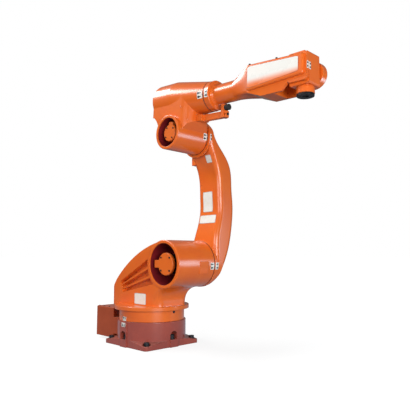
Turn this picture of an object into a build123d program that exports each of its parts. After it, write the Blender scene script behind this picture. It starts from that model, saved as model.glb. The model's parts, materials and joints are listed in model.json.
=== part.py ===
"""Six-axis industrial robot arm, bolted to the floor, in the pose of a catalogue picture.

Frame: millimetres, +X forward (the way the forearm points), +Y to the robot's left, +Z up.
The origin is on the slewing axis, at the underside of the base.
"""

from build123d import *
import os
from math import atan2, cos, pi, radians, sin, sqrt

# Clearances used all over
joint_gap = 0.6
seat_gap = 0.3

# Base, anchor bolts and connector box
plate_side = 312.0
plate_corner_radius = 14.0
lug_tip_height = 15.0
lug_root_height = 31.0
drum_radius = 160.0
base_height = 112.0
drum_edge = 2.0
boss_width = 46.0
boss_height = 34.0
boss_overhang = 8.0
pilaster_top_drop = 3.0
pocket_radius = 20.0
pocket_height = 16.0
corner_bolt_pitch = 266.0
side_bolt_reach = 143.0
bolt_shank_radius = 8.0
bolt_hole_clearance = 1.0
bolt_head_radius = 12.0
bolt_head_height = 16.0
bolt_socket_radius = 7.0
bolt_socket_depth = 8.0
washer_radius = 15.0
washer_height = 3.0
spot_face_radius = 18.0
spot_face_height = 14.0
box_length = 152.0
box_half_width = 106.0
box_bottom = 14.0
box_top = 156.0
box_corner_radius = 8.0
box_edge = 3.0
box_slew_gap = 40.0
box_lug_gap = 4.0
panel_width = 150.0
panel_height = 96.0
panel_thickness = 5.0
connector_pitch = 70.0
connector_radius = 24.0
connector_length = 22.0
connector_bore_radius = 18.0
connector_bore_depth = 15.0

# Turret
skirt_radius = 153.0
skirt_height = 50.0
flange_radius = 175.0
flange_thickness = 18.0
flange_edge = 3.0
wall_half_width = 93.0
wall_sink = 8.0
rear_wall_x = -198.0
rear_wall_height = 60.0
rear_corner_radius = 24.0
hump_start_x = -159.0
hump_start_height = 112.0
hump_mid_x = 10.0
hump_mid_height = 236.0
hump_tangent_angle = 24.0
neck_front_x = 154.0
neck_front_radius = 60.0
neck_corner_round = 38.0
neck_corner_end_round = 3.0
shoulder_x = 195.0
shoulder_z = 370.0
shoulder_tube_radius = 106.0
shoulder_seam_y = 121.0
shoulder_rim_height = 5.0
shoulder_rim_round = 4.0
shoulder_wall = 14.0
shoulder_bore_depth = 126.0
rib_fan_x = -304.0
rib_fan_z = 190.0
rib_fan_start = 12.0
rib_fan_end = 27.5
rib_count = 2
rib_angle = 1.4
rib_near_reach = 200.0
rib_rim_margin = 9.0
rib_groove_depth = 30.0

# Axis motors and their painted caps
shoulder_cap_radius = 50.0
shoulder_cap_inset = 13.0
shoulder_tab_reach = 76.0
shoulder_tab_width = 36.0
elbow_cap_radius = 39.0
elbow_cap_inset = 15.0
elbow_tab_reach = 50.0
elbow_tab_width = 26.0
elbow_tab_turn = 80.0
cap_thickness = 14.0
cap_edge = 3.0
motor_shrink = 5.0

# Lower arm
link_length = 585.0
link_lean = 1.8
shoulder_boss_radius = 108.0
shoulder_boss_depth = 18.0
elbow_boss_radius = 90.0
elbow_boss_depth = 14.0
boss_edge_round = 6.0
boss_step = 3.0
beam_width = 145.0
beam_front_inset = 2.0
beam_edge_radius = 25.0
beam_tip_edge_radius = 5.0
beam_bow = 51.0
beam_thickness = 111.0
beam_flare = 70.0
# share of the link, then shares of the bow, the thickness and the flare there
beam_stations = (
    (-0.17, 0.08, 0.13, 1.00),
    (-0.05, 0.10, 0.43, 0.86),
    (0.08, 0.16, 0.81, 0.51),
    (0.20, 0.25, 1.00, 0.17),
    (0.34, 0.71, 0.96, 0.02),
    (0.52, 0.98, 0.91, 0.00),
    (0.66, 1.00, 0.89, 0.00),
    (0.78, 0.75, 0.94, 0.03),
    (0.88, 0.31, 0.81, 0.17),
    (1.00, 0.10, 0.36, 0.49),
    (1.12, 0.16, 0.11, 0.57),
)
stop_share = 0.838
stop_reach = 12.0
stop_width = 30.0
stop_height = 40.0
stop_inset = 6.0

# Elbow
elbow_tube_radius = 77.0
elbow_open_y = -97.0
elbow_seam_y = 86.0
elbow_wall = 12.0
elbow_rim_round = 3.0
elbow_bore_depth = 120.0
housing_rise = 165.0
housing_pitch = 4.0
forearm_rise = 147.0
forearm_pitch = 2.4
barrel_radius = 86.0
barrel_rear = 136.0
nose_start = -16.0
rear_cover_thickness = 16.0
rear_cover_round = 11.0
roll_seam = 191.0
roll_seat_radius = 64.5
neck_front = 108.0
neck_half_width = 78.0
neck_rear_drop = 82.0
neck_bevel = 18.0
neck_root_inset = 13.0
neck_front_round = 52.0
bracket_top = 88.0
bracket_height = 28.0
bracket_reach = 166.0
bracket_width = 18.0
bracket_root_length = 34.0
bracket_root_width = 46.0
bracket_hole_radius = 4.5
ear_top = 59.0
ear_thickness = 14.0
ear_setback = 12.0
ear_width = 30.0
bumper_radius = 13.0
bumper_length = 20.0

# Forearm
ring_radius = 63.5
ring_thickness = 26.0
ring_edge = 3.0
tube_radius = 42.5
tube_root_radius = 48.0
tube_root_length = 9.0
wrist_reach = 654.0
fork_length = 231.0
fork_shoulder_length = 91.0
fork_half_width = 55.0
fork_top = 68.5
fork_tip_top = 53.0
fork_side_bottom = 43.5
fork_tip_side_bottom = 31.0
fork_keel = 69.0
fork_tip_keel = 68.0
keel_ramp_share = 0.42
fork_keel_half_width = 50.0
fork_top_chamfer = 9.0
shoulder_corner_radius = 10.0
slot_half_width = 41.5
slot_depth = 106.0
keel_end = 66.0
keel_rise_end = 42.0
hub_front = 42.0
hub_rear = 40.0
hub_top = 57.0
hub_bottom = 48.0
hub_chamfer = 9.0
wrist_cap_radius = 50.0
wrist_cap_height = 21.0
wrist_cap_round = 8.0
cover_setback = 4.0
cover_overrun = 34.0
cover_inset = 3.0
cover_thickness = 12.0
cover_corner_radius = 10.0
cover_edge_round = 7.0

# Wrist and tool flange
wrist_gap = 1.3
journal_radius = 27.0
wrist_front = 42.0
wrist_half_height = 58.0
wrist_corner = 5.0
wrist_far_round = 14.0
tool_neck_radius = 31.0
tool_housing_radius = 33.5
tool_housing_start = 60.0
tool_housing_end = 84.0
tool_housing_round = 4.0
tool_face_reach = 92.0
tool_flange_radius = 32.0
tool_pilot_radius = 12.5
tool_pilot_depth = 6.0
tool_bolt_circle = 40.0
tool_bolt_count = 4
tool_bolt_turn = 45.0
tool_bolt_radius = 3.0
tool_bolt_depth = 7.0

# Places worked out from the sizes above
box_rear_x = -drum_radius - box_length
flange_bottom = base_height + joint_gap + skirt_height
flange_top = flange_bottom + flange_thickness
shoulder_open_y = -wall_half_width - shoulder_rim_height
fork_start = wrist_reach - fork_length
fork_shoulder_start = fork_start - fork_shoulder_length
elbow_x = shoulder_x + link_length * sin(radians(link_lean))
elbow_z = shoulder_z + link_length * cos(radians(link_lean))
housing_frame = Pos(elbow_x, 0, elbow_z) * Rot(0, housing_pitch, 0) * Pos(0, 0, housing_rise)
forearm_frame = Pos(elbow_x, 0, elbow_z) * Rot(0, forearm_pitch, 0) * Pos(0, 0, forearm_rise)
wrist_frame = forearm_frame * Pos(wrist_reach, 0, 0) * Rot(0, -forearm_pitch, 0)


def bottom_box(x_size, y_size, height):
    """A box standing on z = 0, centred on the z axis."""
    return Box(x_size, y_size, height, align=(Align.CENTER, Align.CENTER, Align.MIN))


def post(radius, height):
    """A cylinder standing on z = 0."""
    return Cylinder(radius, height, align=(Align.CENTER, Align.CENTER, Align.MIN))


def rounded_post(radius, height, edge):
    """A cylinder standing on z = 0 with its upper edge rounded."""
    solid = post(radius, height)
    return fillet(solid.edges().filter_by(GeomType.CIRCLE).sort_by(Axis.Z)[-1], edge)


def along_x(solid, x):
    """Lays something that stands on z = 0 along +X, starting at x."""
    return Pos(x, 0, 0) * Rot(0, 90, 0) * solid


def along_y(solid, y, x=0.0, z=0.0):
    """Lays something that stands on z = 0 along +Y, starting at y."""
    return Pos(x, y, z) * Rot(-90, 0, 0) * solid


def rod_y(radius, y_start, y_end, x=0.0, z=0.0):
    """A cylinder along +Y between two values of y."""
    return along_y(post(radius, y_end - y_start), y_start, x, z)


def slab_y(face, y_start, y_end):
    """Extrudes a face drawn in x and z between two values of y."""
    return extrude(Plane.XZ.offset(-y_end) * face, y_end - y_start)


def blend(centre, radius, line_x, bend_radius, side, rise):
    """Concave arc between a circle and an upright line.

    side is the side of the line that the arc's centre lies on (1 or -1), and rise says whether
    the line leaves the circle upward (1) or downward (-1). Gives the arc's end on the circle, a
    point half way, and its end on the line.
    """
    middle_x = line_x + side * bend_radius
    reach = radius + bend_radius
    drop = sqrt(reach**2 - (middle_x - centre[0]) ** 2)
    middle_z = centre[1] + rise * drop
    on_circle = (
        centre[0] + (middle_x - centre[0]) * radius / reach,
        centre[1] + (middle_z - centre[1]) * radius / reach,
    )
    on_line = (line_x, middle_z)
    half_x = (on_circle[0] + on_line[0]) / 2 - middle_x
    half_z = (on_circle[1] + on_line[1]) / 2 - middle_z
    stretch = bend_radius / sqrt(half_x**2 + half_z**2)
    return on_circle, (middle_x + half_x * stretch, middle_z + half_z * stretch), on_line


# Base
def anchor_places():
    """Where the anchor bolts stand: x, y and the height of the seat."""
    half = corner_bolt_pitch / 2
    corners = [(x, y, spot_face_height) for x in (-half, half) for y in (-half, half)]
    sides = [
        (side_bolt_reach, 0, boss_height),
        (0, -side_bolt_reach, boss_height),
        (0, side_bolt_reach, boss_height),
    ]
    return corners + sides


def base_casting():
    """Drum on a square foot with sloping corner lugs, a bolt boss in front and a pilaster each side."""
    corner_reach = plate_side / 2 * sqrt(2)
    fall = (lug_root_height - lug_tip_height) / (corner_reach - drum_radius)
    inner_radius = drum_radius - lug_root_height
    inner_height = lug_tip_height + fall * (corner_reach - inner_radius)
    slope_outline = make_face(
        Polyline(
            (0, 0),
            (corner_reach, 0),
            (corner_reach, lug_tip_height),
            (inner_radius, inner_height),
            (0, inner_height),
            close=True,
        )
    )
    slope = revolve(Plane.XZ * slope_outline, Axis.Z)
    foot = extrude(RectangleRounded(plate_side, plate_side, plate_corner_radius), inner_height)
    body = (foot & slope) + rounded_post(drum_radius, base_height, drum_edge)
    boss_reach = plate_side / 2 + boss_overhang
    spring = boss_height + pocket_height
    arch = make_face(
        [
            Line((-pocket_radius, boss_height), (pocket_radius, boss_height)),
            Line((pocket_radius, boss_height), (pocket_radius, spring)),
            ThreePointArc((pocket_radius, spring), (0, spring + pocket_radius), (-pocket_radius, spring)),
            Line((-pocket_radius, spring), (-pocket_radius, boss_height)),
        ]
    )
    pilaster_height = base_height - pilaster_top_drop
    for turn, height in ((0, boss_height), (90, pilaster_height), (-90, pilaster_height)):
        boss = Pos(boss_reach / 2, 0, 0) * bottom_box(boss_reach, boss_width, height)
        niche = extrude(Plane.YZ.offset(side_bolt_reach - pocket_radius) * arch, boss_reach)
        body += Rot(0, 0, turn) * boss
        body -= Rot(0, 0, turn) * niche
    for x, y, seat in anchor_places():
        body -= Pos(x, y, 0) * post(bolt_shank_radius + bolt_hole_clearance, seat)
        body -= Pos(x, y, seat) * post(spot_face_radius, lug_root_height)
    return body


def anchor_bolts():
    """Socket head bolts with a thick washer each."""
    bolts = []
    for x, y, seat in anchor_places():
        bolt = post(bolt_shank_radius, seat + washer_height)
        bolt += Pos(0, 0, seat) * post(washer_radius, washer_height)
        head = post(bolt_head_radius, bolt_head_height)
        head -= Pos(0, 0, bolt_head_height - bolt_socket_depth) * extrude(
            RegularPolygon(bolt_socket_radius, 6), bolt_socket_depth
        )
        bolt += Pos(0, 0, seat + washer_height) * head
        bolts.append(Pos(x, y, 0) * bolt)
    return Compound(children=bolts)


def connector_box():
    """Cable entry box behind the drum, hollowed to clear the slewing skirt."""
    outline = RectangleRounded(-box_rear_x, 2 * box_half_width, box_corner_radius)
    block = extrude(outline, box_top - box_bottom)
    block = chamfer(block.faces().sort_by(Axis.Z)[-1].edges(), box_edge)
    box = Pos(box_rear_x / 2, 0, box_bottom) * block
    box -= post(drum_radius + seat_gap, base_height + seat_gap)
    box -= Pos(0, 0, base_height + seat_gap) * post(skirt_radius + box_slew_gap, box_top)
    box -= bottom_box(plate_side + 2 * box_lug_gap, plate_side, lug_root_height + box_lug_gap)
    middle = (box_bottom + box_top) / 2
    recess = Pos(box_rear_x, 0, middle) * Box(2 * panel_thickness, panel_width, panel_height)
    return box - recess


def connector_panel():
    """Plate that carries the cable sockets, let into the back of the box."""
    middle = (box_bottom + box_top) / 2
    plate = Box(panel_thickness, panel_width - 2 * seat_gap, panel_height - 2 * seat_gap)
    return Pos(box_rear_x + panel_thickness / 2 - seat_gap, 0, middle) * plate


def cable_sockets():
    """Two round multi-pin sockets on the panel."""
    middle = (box_bottom + box_top) / 2
    sockets = []
    for side in (-1, 1):
        shell = post(connector_radius, connector_length) - post(connector_bore_radius, connector_bore_depth)
        place = Pos(box_rear_x - seat_gap, side * connector_pitch / 2, middle)
        sockets.append(place * along_x(shell, -connector_length))
    return Compound(children=sockets)


# Turret
def turret_profile():
    """Side outline of the turret above its flange: back wall, hump, shoulder tube and neck."""
    bottom = flange_top - wall_sink
    lean = radians(hump_tangent_angle)
    top = (
        shoulder_x - shoulder_tube_radius * sin(lean),
        shoulder_z + shoulder_tube_radius * cos(lean),
    )
    rear = (rear_wall_x, flange_top + rear_wall_height)
    start = (hump_start_x, flange_top + hump_start_height)
    under, bend, foot = blend(
        (shoulder_x, shoulder_z), shoulder_tube_radius, neck_front_x, neck_front_radius, 1, -1
    )
    return make_face(
        [
            Line((rear_wall_x, bottom), rear),
            Line(rear, start),
            ThreePointArc(start, (hump_mid_x, flange_top + hump_mid_height), top),
            ThreePointArc(top, (shoulder_x + shoulder_tube_radius, shoulder_z), under),
            ThreePointArc(under, bend, foot),
            Line(foot, (neck_front_x, bottom)),
            Line((neck_front_x, bottom), (rear_wall_x, bottom)),
        ]
    )


def rib_grooves(y_start, y_end):
    """Wedge grooves in a side wall that leave ribs fanning out from low at the back."""
    span = (rib_fan_end - rib_fan_start - rib_count * rib_angle) / (rib_count + 1)
    far_reach = shoulder_x - rib_fan_x
    rim = rod_y(shoulder_tube_radius + rib_rim_margin, y_start, y_end, shoulder_x, shoulder_z)
    grooves = []
    for index in range(rib_count + 1):
        low = rib_fan_start + index * (span + rib_angle)
        corners = [
            (rib_fan_x + reach * cos(radians(angle)), rib_fan_z + reach * sin(radians(angle)))
            for reach, angle in (
                (rib_near_reach, low),
                (far_reach, low),
                (far_reach, low + span),
                (rib_near_reach, low + span),
            )
        ]
        grooves.append(slab_y(make_face(Polyline(*corners, close=True)), y_start, y_end) - rim)
    return grooves


def neck_corner(side):
    """What is taken off a front corner of the neck to round it, fading out under the tube."""
    under, bend, foot = blend(
        (shoulder_x, shoulder_z), shoulder_tube_radius, neck_front_x, neck_front_radius, 1, -1
    )
    middle = (foot[0] + neck_front_radius, foot[1])
    sweep = atan2(under[1] - middle[1], under[0] - middle[0])
    stations = [((neck_front_x, flange_top - wall_sink), pi, 1.0), (foot, pi, 1.0)]
    for share in (0.35, 0.7, 1.0):
        angle = pi + share * (sweep - pi)
        point = (
            middle[0] + neck_front_radius * cos(angle),
            middle[1] + neck_front_radius * sin(angle),
        )
        stations.append((point, angle, 1 - share))
    sections = []
    for point, angle, share in stations:
        radius = neck_corner_end_round + share * (neck_corner_round - neck_corner_end_round)
        out = radius + seat_gap
        rise = sqrt(out**2 - radius**2)
        tip = out * sin(pi / 4)
        outward = (-cos(angle), 0, -sin(angle))
        plane = Plane((point[0], 0, point[1]), x_dir=outward, z_dir=(-sin(angle), 0, cos(angle)))
        edge = wall_half_width - radius
        corner = make_face(
            [
                ThreePointArc((seat_gap, edge), (tip - radius, edge + tip), (-radius, edge + out)),
                Line((-radius, edge + out), (-radius, wall_half_width + radius)),
                Line((-radius, wall_half_width + radius), (radius, wall_half_width + radius)),
                Line((radius, wall_half_width + radius), (radius, edge)),
                Line((radius, edge), (seat_gap, edge)),
            ]
        )
        sections.append(plane * corner)
    cutter = loft(sections)
    return cutter if side > 0 else mirror(cutter, Plane.XZ)


def turret_casting():
    """Slewing skirt and flange, neck with ribbed hump, and the tube of the second axis."""
    height = shoulder_z + 2 * shoulder_tube_radius
    length = shoulder_x + 2 * shoulder_tube_radius - rear_wall_x
    plan = RectangleRounded(length, 2 * wall_half_width, rear_corner_radius)
    wall = slab_y(turret_profile(), -wall_half_width, wall_half_width)
    wall = wall & (Pos(rear_wall_x + length / 2, 0, 0) * extrude(plan, height))
    for groove in rib_grooves(-wall_half_width, rib_groove_depth - wall_half_width):
        wall -= groove
    for groove in rib_grooves(wall_half_width - rib_groove_depth, wall_half_width):
        wall -= groove
    wall = wall - neck_corner(-1) - neck_corner(1)
    skirt = Pos(0, 0, base_height + joint_gap) * post(skirt_radius, skirt_height)
    flange = Pos(0, 0, flange_bottom) * rounded_post(flange_radius, flange_thickness, flange_edge)
    rim = rounded_post(shoulder_tube_radius, shoulder_rim_height, shoulder_rim_round)
    rim = Pos(shoulder_x, -wall_half_width, shoulder_z) * Rot(90, 0, 0) * rim
    tube = rod_y(
        shoulder_tube_radius, wall_half_width, shoulder_seam_y - joint_gap, shoulder_x, shoulder_z
    )
    bore = rod_y(
        shoulder_tube_radius - shoulder_wall,
        shoulder_open_y,
        shoulder_open_y + shoulder_bore_depth,
        shoulder_x,
        shoulder_z,
    )
    return wall + skirt + flange + rim + tube - bore


def motor_cap(radius, tab_reach, tab_width, tab_turn):
    """Painted end cap with a connector tab, drawn about the origin and facing -Y."""
    tab = Pos(tab_reach / 2, 0) * Rectangle(tab_reach, tab_width)
    cap = slab_y(Circle(radius) + Rot(0, 0, tab_turn) * tab, 0, cap_thickness)
    return chamfer(cap.faces().sort_by(Axis.Y)[0].edges(), cap_edge)


def shoulder_motor_cap():
    cap = motor_cap(shoulder_cap_radius, shoulder_tab_reach, shoulder_tab_width, 180)
    return Pos(shoulder_x, shoulder_open_y + shoulder_cap_inset, shoulder_z) * cap


def shoulder_motor():
    start = shoulder_open_y + shoulder_cap_inset + cap_thickness
    end = shoulder_open_y + shoulder_bore_depth
    return rod_y(shoulder_cap_radius - motor_shrink, start, end, shoulder_x, shoulder_z)


# Lower arm
def past_axis(x, z, radius, side):
    """Everything past an axis, up (1) or down (-1), except a round end about it."""
    reach = 4 * radius
    block = Pos(x, shoulder_seam_y, z + side * reach / 2) * Box(reach, 2 * reach, reach)
    return block - rod_y(radius, shoulder_seam_y - reach, shoulder_seam_y + reach, x, z)


def beam_place(share):
    """Height and seam line of the lower arm at a share of its length."""
    height = shoulder_z + share * (elbow_z - shoulder_z)
    return height, shoulder_seam_y + share * (elbow_seam_y - shoulder_seam_y)


def lower_arm_beam():
    """Beam bowed outward, so that the forearm can swing past it."""
    front = elbow_x + elbow_boss_radius - beam_front_inset
    sections = []
    for share, bow_share, thickness_share, flare_share in beam_stations:
        height, seam = beam_place(share)
        bow = bow_share * beam_bow
        thickness = thickness_share * beam_thickness
        width = beam_width + flare_share * beam_flare
        radius = min(beam_edge_radius, thickness / 2 - beam_tip_edge_radius / 2)
        place = Pos(front - width / 2, seam + bow + thickness / 2, height)
        sections.append(place * RectangleRounded(width, thickness, max(radius, beam_tip_edge_radius)))
    return loft(sections)


def lower_arm_casting():
    """Bowed beam with a round boss at each joint and a cast stop at the back."""
    beam = lower_arm_beam()
    beam -= past_axis(shoulder_x, shoulder_z, shoulder_boss_radius - boss_step, -1)
    beam -= past_axis(elbow_x, elbow_z, elbow_boss_radius - boss_step, 1)
    shoulder_boss = along_y(
        rounded_post(shoulder_boss_radius, shoulder_boss_depth, boss_edge_round),
        shoulder_seam_y,
        shoulder_x,
        shoulder_z,
    )
    elbow_boss = along_y(
        rounded_post(elbow_boss_radius, elbow_boss_depth, boss_edge_round),
        elbow_seam_y,
        elbow_x,
        elbow_z,
    )
    height, seam = beam_place(stop_share)
    back = elbow_x + elbow_boss_radius - beam_front_inset - beam_width
    stop = Pos(back, seam + stop_width / 2 + beam_edge_radius + stop_inset, height) * Box(
        2 * stop_reach, stop_width, stop_height
    )
    return beam + shoulder_boss + elbow_boss + stop


# Elbow
def elbow_casting():
    """Tube of the third axis, with the barrel that narrows to the roll seat above it."""
    tube = rounded_post(elbow_tube_radius, elbow_seam_y - joint_gap - elbow_open_y, elbow_rim_round)
    tube = Pos(0, elbow_seam_y - joint_gap, -housing_rise) * Rot(90, 0, 0) * tube
    rear = -barrel_rear + rear_cover_thickness
    barrel = along_x(post(barrel_radius, nose_start - rear), rear)
    nose = loft(
        [
            along_x(Circle(barrel_radius), nose_start),
            housing_frame.inverse() * forearm_frame * along_x(Circle(roll_seat_radius), roll_seam),
        ]
    )
    neck_outline = make_face(
        Polyline(
            (-elbow_tube_radius + neck_root_inset, -housing_rise),
            (elbow_tube_radius - neck_root_inset, -housing_rise),
            (neck_front, -bracket_top - bracket_height),
            (neck_front, 0),
            (rear, 0),
            (rear, -neck_rear_drop),
            (rear + neck_bevel, -neck_rear_drop - neck_bevel),
            close=True,
        )
    )
    neck = slab_y(neck_outline, -neck_half_width, neck_half_width)
    neck = fillet(neck.edges().filter_by(Axis.Z).group_by(Axis.X)[-1], neck_front_round)
    bore = rod_y(elbow_tube_radius - elbow_wall, elbow_open_y, elbow_open_y + elbow_bore_depth)
    body = tube + barrel + nose + neck
    return housing_frame * (body - Pos(0, 0, -housing_rise) * bore)


def elbow_rear_cover():
    skirt = Pos(0, -neck_rear_drop / 2) * Rectangle(2 * neck_half_width, neck_rear_drop)
    cover = extrude(Circle(barrel_radius) + skirt, rear_cover_thickness)
    cover = fillet(cover.faces().sort_by(Axis.Z)[-1].edges(), rear_cover_round)
    seat = Plane((-barrel_rear + rear_cover_thickness, 0, 0), x_dir=(0, -1, 0), z_dir=(-1, 0, 0))
    return housing_frame * (seat * cover)


def elbow_motor_cap():
    cap = motor_cap(elbow_cap_radius, elbow_tab_reach, elbow_tab_width, elbow_tab_turn)
    return Pos(elbow_x, elbow_open_y + elbow_cap_inset, elbow_z) * cap


def elbow_motor():
    start = elbow_open_y + elbow_cap_inset + cap_thickness
    end = elbow_open_y + elbow_bore_depth
    return rod_y(elbow_cap_radius - motor_shrink, start, end, elbow_x, elbow_z)


def stop_bracket():
    """Arm under the forearm tube, with an upright ear for the rubber stop."""
    middle = -bracket_top - bracket_height / 2
    bar = Pos(neck_front + bracket_reach / 2, 0, middle) * Box(bracket_reach, bracket_width, bracket_height)
    root = Pos(neck_front + bracket_root_length / 2, 0, middle) * Box(
        bracket_root_length, bracket_root_width, bracket_height
    )
    ear_height = bracket_top + bracket_height - ear_top
    ear_x = neck_front + bracket_reach - ear_setback - ear_thickness / 2
    ear = Pos(ear_x, 0, -bracket_top - bracket_height) * bottom_box(ear_thickness, ear_width, ear_height)
    hole = Pos(neck_front + bracket_reach - 2 * bracket_hole_radius, 0, middle) * rod_y(
        bracket_hole_radius, -bracket_width, bracket_width
    )
    return housing_frame * (bar + root + ear - hole)


def rubber_stop():
    start = neck_front + bracket_reach - ear_setback
    height = -ear_top - bumper_radius - seat_gap
    return housing_frame * (Pos(0, 0, height) * along_x(post(bumper_radius, bumper_length), start))


# Forearm
def fork_section(station, top, side_bottom, keel):
    """Cross-section of the fork: flat sides, sloping underside and a keel."""
    corners = [
        (-fork_keel_half_width, -keel),
        (fork_keel_half_width, -keel),
        (fork_half_width, -side_bottom),
        (fork_half_width, top - fork_top_chamfer),
        (fork_half_width - fork_top_chamfer, top),
        (-fork_half_width + fork_top_chamfer, top),
        (-fork_half_width, top - fork_top_chamfer),
        (-fork_half_width, -side_bottom),
    ]
    return Plane.YZ.offset(station) * make_face(Polyline(*corners, close=True))


def hub_outline():
    """Side outline of a prong's end, about the wrist axis."""
    hub = Pos((hub_front - hub_rear) / 2, (hub_top - hub_bottom) / 2) * Rectangle(
        hub_front + hub_rear, hub_top + hub_bottom
    )
    return chamfer(hub.vertices(), hub_chamfer)


def forearm_casting():
    """Roll flange, round tube, and the fork that carries the wrist."""
    seam = roll_seam + joint_gap
    ring = rounded_post(ring_radius, ring_thickness, ring_edge)
    root = Cone(
        tube_root_radius, tube_radius, tube_root_length, align=(Align.CENTER, Align.CENTER, Align.MIN)
    )
    tube = along_x(post(tube_radius, fork_shoulder_start - seam), seam)
    tube += along_x(ring, seam) + along_x(root, seam + ring_thickness)
    front = wrist_reach + hub_front
    fork = loft(
        [
            fork_section(fork_start, fork_top, fork_side_bottom, fork_keel),
            fork_section(front, fork_tip_top, fork_tip_side_bottom, fork_tip_keel),
        ],
        ruled=True,
    )
    depth = 2 * fork_keel
    ramp_end = fork_start + keel_ramp_share * (wrist_reach - keel_end - fork_start)
    side_outline = make_face(
        Polyline(
            (fork_start, -fork_side_bottom - seat_gap),
            (ramp_end, -fork_keel - seat_gap),
            (wrist_reach - keel_end, -depth),
            (wrist_reach - keel_end, -fork_tip_keel),
            (wrist_reach - keel_rise_end, -hub_bottom + hub_chamfer / 2),
            (wrist_reach, -hub_bottom + hub_chamfer / 2),
            (wrist_reach, depth),
            (fork_start, depth),
            close=True,
        )
    )
    fork = fork & slab_y(side_outline, -2 * fork_half_width, 2 * fork_half_width)
    fork += Pos(wrist_reach, 0, 0) * slab_y(hub_outline(), -fork_half_width, 0)
    fork += rod_y(wrist_cap_radius, 0, fork_half_width, wrist_reach)
    slot_length = slot_depth + 2 * hub_front
    slot = Pos(wrist_reach - slot_depth + slot_length / 2, 0, 0) * Box(
        slot_length, 2 * slot_half_width, 2 * depth
    )
    middle = (fork_top - fork_side_bottom) / 2
    shoulder = loft(
        [
            along_x(Circle(tube_radius - seat_gap), fork_shoulder_start),
            Pos(0, 0, middle) * along_x(
                RectangleRounded(fork_top + fork_side_bottom, 2 * fork_half_width, shoulder_corner_radius),
                fork_start,
            ),
        ]
    )
    return forearm_frame * (tube + shoulder + (fork - slot))


def side_cover(side):
    """Tapered cover plate over the wrist drives, on one side of the fork."""
    run = wrist_reach + hub_front - fork_start
    rise = (fork_side_bottom - fork_tip_side_bottom) / run
    fall = (fork_top - fork_tip_top) / run
    start = fork_start + cover_setback
    end = wrist_reach + cover_overrun if side < 0 else wrist_reach - wrist_cap_radius - cover_inset
    top = fork_top - fork_top_chamfer + cover_inset
    bottom = -fork_side_bottom + cover_inset
    outline = make_face(
        Polyline(
            (start, bottom),
            (end, bottom + rise * (end - fork_start)),
            (end, top - fall * (end - fork_start)),
            (start, top),
            close=True,
        )
    )
    outline = fillet(outline.vertices(), cover_corner_radius)
    plate = slab_y(outline, -cover_thickness, 0)
    plate = fillet(plate.faces().sort_by(Axis.Y)[0].edges(), cover_edge_round)
    if side > 0:
        plate = mirror(plate, Plane.XZ)
    return forearm_frame * (Pos(0, side * fork_half_width, 0) * plate)


def wrist_axis_cap():
    """Round cap over the wrist bearing, on the far prong."""
    cap = rounded_post(wrist_cap_radius, wrist_cap_height, wrist_cap_round)
    return forearm_frame * along_y(cap, fork_half_width, wrist_reach)


# Wrist
def wrist_body():
    """Block that turns between the prongs on round faces, with the tool neck below."""
    half_width = slot_half_width - wrist_gap
    outline = Rectangle(2 * wrist_front, 2 * wrist_half_height)
    block = slab_y(chamfer(outline.vertices(), wrist_corner), -half_width, half_width)
    far_corner = block.edges().filter_by(Axis.Z).group_by(Axis.X)[-1].sort_by(Axis.Y)[-1]
    block = fillet(far_corner, wrist_far_round)
    journal = rod_y(journal_radius, seat_gap - slot_half_width, slot_half_width - seat_gap)
    neck = Pos(0, 0, -tool_housing_start) * post(tool_neck_radius, tool_housing_start)
    return wrist_frame * (block + journal + neck)


def tool_housing():
    height = tool_housing_end - tool_housing_start
    return wrist_frame * (
        Pos(0, 0, -tool_housing_end) * rounded_post(tool_housing_radius, height, tool_housing_round)
    )


def tool_flange():
    """Round flange with a pilot bore and a ring of bolt holes."""
    face = Pos(0, 0, -tool_face_reach)
    disc = face * post(tool_flange_radius, tool_face_reach - tool_housing_end - joint_gap)
    disc -= face * post(tool_pilot_radius, tool_pilot_depth)
    for index in range(tool_bolt_count):
        turn = Rot(0, 0, tool_bolt_turn + index * 360 / tool_bolt_count)
        disc -= face * turn * Pos(tool_bolt_circle / 2, 0, 0) * post(tool_bolt_radius, tool_bolt_depth)
    return wrist_frame * disc


nodes = {
    "base_casting": base_casting(),
    "anchor_bolts": anchor_bolts(),
    "connector_box": connector_box(),
    "connector_panel": connector_panel(),
    "cable_sockets": cable_sockets(),
    "turret_casting": turret_casting(),
    "shoulder_motor": shoulder_motor(),
    "shoulder_motor_cap": shoulder_motor_cap(),
    "lower_arm_casting": lower_arm_casting(),
    "elbow_casting": elbow_casting(),
    "elbow_rear_cover": elbow_rear_cover(),
    "elbow_motor": elbow_motor(),
    "elbow_motor_cap": elbow_motor_cap(),
    "stop_bracket": stop_bracket(),
    "rubber_stop": rubber_stop(),
    "forearm_casting": forearm_casting(),
    "right_side_cover": side_cover(-1),
    "left_side_cover": side_cover(1),
    "wrist_axis_cap": wrist_axis_cap(),
    "wrist_body": wrist_body(),
    "tool_housing": tool_housing(),
    "tool_flange": tool_flange(),
}

os.makedirs("parts", exist_ok=True)
for name, solid in nodes.items():
    export_step(solid, os.path.join("parts", name + ".step"))
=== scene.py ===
"""Looks of a floor-mounted six-axis robot arm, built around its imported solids.

Metres throughout, in the frame of the solids: +X forward, +Y to the robot's left, +Z up.
"""

import json
from math import cos, pi, radians, sin

import bmesh
import bpy
from mathutils import Matrix, Vector
from mathutils.bvhtree import BVHTree


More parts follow.
